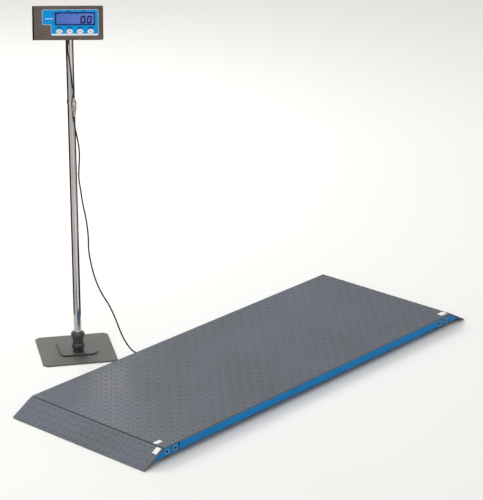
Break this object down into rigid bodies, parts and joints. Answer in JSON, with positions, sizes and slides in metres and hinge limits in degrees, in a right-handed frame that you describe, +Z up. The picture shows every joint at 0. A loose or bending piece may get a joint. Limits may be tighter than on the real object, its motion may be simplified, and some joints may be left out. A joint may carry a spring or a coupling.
{
  "type": "pallet scale",
  "caption": "Low portable pallet scale: tread deck with end ramps on load cells and levelling feet, joined by cable to a free-standing column with a tilting indicator.",
  "frame": {"origin": "on the floor, under the middle of the object without its free cables", "axes": "+X along the platform, +Y across it towards the column, +Z up"},
  "size_m": [2.134, 1.3114, 1.6063],
  "materials": {
    "tread_steel": "raised tread, slightly worn",
    "blue_paint": "gloss enamel",
    "bare_steel": "machined",
    "cell_steel": "nickel plated",
    "zinc_steel": "zinc plated",
    "foot_rubber": "matt",
    "lead_sheath": "matt",
    "cable_sheath": "semi-matt",
    "box_plastic": "fine texture",
    "black_nylon": "matt",
    "base_paint": "matt dark grey",
    "black_iron": "satin black",
    "polished_steel": "polished stainless",
    "bracket_steel": "satin black",
    "nickel": "satin nickel",
    "housing_steel": "long brushed grain",
    "gasket_rubber": "matt",
    "overlay_blue": "printed polyester",
    "window_clear": "clear",
    "display": "backlit",
    "board_green": "solder mask",
    "battery_case": "heat-shrink wrap",
    "key_white": "moulded"
  },
  "bodies": {
    "root": {"deck_plate": "tread_steel", "ramp_left": "tread_steel", "ramp_right": "tread_steel", "rail_front": "blue_paint", "rail_rear": "blue_paint", "end_gussets": "blue_paint", "cross_bars": "blue_paint", "fold_bars": "blue_paint", "gusset_bushings": "bare_steel", "cell_spacers": "bare_steel", "load_cell_1": "cell_steel", "load_cell_2": "cell_steel", "load_cell_3": "cell_steel", "load_cell_4": "cell_steel", "cell_bolts": "zinc_steel", "lock_nuts": "zinc_steel", "cell_lead_1": "lead_sheath", "cell_lead_2": "lead_sheath", "cell_lead_3": "lead_sheath", "cell_lead_4": "lead_sheath", "platform_cable": "cable_sheath", "indicator_lead": "cable_sheath", "inner_cable": "cable_sheath", "junction_box": "box_plastic", "junction_lid": "box_plastic", "junction_glands": "black_nylon", "rail_gland": "black_nylon", "base_plate": "base_paint", "column_socket": "black_iron", "cable_hook": "black_iron", "column": "polished_steel", "connector_clip": "polished_steel", "column_bracket": "bracket_steel", "connector_plug": "nickel", "connector_receptacle": "nickel"},
    "head": {"housing": "housing_steel", "rear_cover": "housing_steel", "cover_gasket": "gasket_rubber", "keypad_overlay": "overlay_blue", "lcd_window": "window_clear", "lcd_module": "display", "main_board": "board_green", "battery_pack": "battery_case", "head_gland": "black_nylon", "head_bracket": "bracket_steel", "tilt_bolt": "zinc_steel", "cover_screws": "zinc_steel"},
    "knob": {"tilt_knob": "black_nylon"},
    "key_body_1": {"key_1": "key_white"},
    "key_body_2": {"key_2": "key_white"},
    "key_body_3": {"key_3": "key_white"},
    "key_body_4": {"key_4": "key_white"},
    "foot_body_1": {"foot_1": "zinc_steel", "foot_pad_1": "foot_rubber"},
    "foot_body_2": {"foot_2": "zinc_steel", "foot_pad_2": "foot_rubber"},
    "foot_body_3": {"foot_3": "zinc_steel", "foot_pad_3": "foot_rubber"},
    "foot_body_4": {"foot_4": "zinc_steel", "foot_pad_4": "foot_rubber"}
  },
  "joints": [
    {"name": "head_tilt", "type": "hinge", "parent": "root", "child": "head", "pos_m": [-0.40625, 0.39702, 1.51914], "axis": [0.6807, -0.7325, 0], "range_deg": [-25, 20], "deforming": ["indicator_lead"]},
    {"name": "knob_turn", "type": "hinge", "parent": "head", "child": "knob", "pos_m": [-0.40625, 0.39702, 1.51914], "axis": [0.6807, -0.7325, 0], "continuous": true},
    {"name": "key_1_press", "type": "slide", "parent": "head", "child": "key_body_1", "axis": [0.7152, 0.6646, -0.2164], "range_m": [0, 0.0012], "stiffness_N_per_m": 200},
    {"name": "key_2_press", "type": "slide", "parent": "head", "child": "key_body_2", "axis": [0.7152, 0.6646, -0.2164], "range_m": [0, 0.0012], "stiffness_N_per_m": 200},
    {"name": "key_3_press", "type": "slide", "parent": "head", "child": "key_body_3", "axis": [0.7152, 0.6646, -0.2164], "range_m": [0, 0.0012], "stiffness_N_per_m": 200},
    {"name": "key_4_press", "type": "slide", "parent": "head", "child": "key_body_4", "axis": [0.7152, 0.6646, -0.2164], "range_m": [0, 0.0012], "stiffness_N_per_m": 200},
    {"name": "foot_1_turn", "type": "hinge", "parent": "root", "child": "foot_body_1", "pos_m": [-0.74, -0.57074, 0.02], "axis": [0, 0, 1], "continuous": true},
    {"name": "foot_2_turn", "type": "hinge", "parent": "root", "child": "foot_body_2", "pos_m": [0.74, -0.57074, 0.02], "axis": [0, 0, 1], "continuous": true},
    {"name": "foot_3_turn", "type": "hinge", "parent": "root", "child": "foot_body_3", "pos_m": [-0.74, 0.02126, 0.02], "axis": [0, 0, 1], "continuous": true},
    {"name": "foot_4_turn", "type": "hinge", "parent": "root", "child": "foot_body_4", "pos_m": [0.74, 0.02126, 0.02], "axis": [0, 0, 1], "continuous": true}
  ]
}
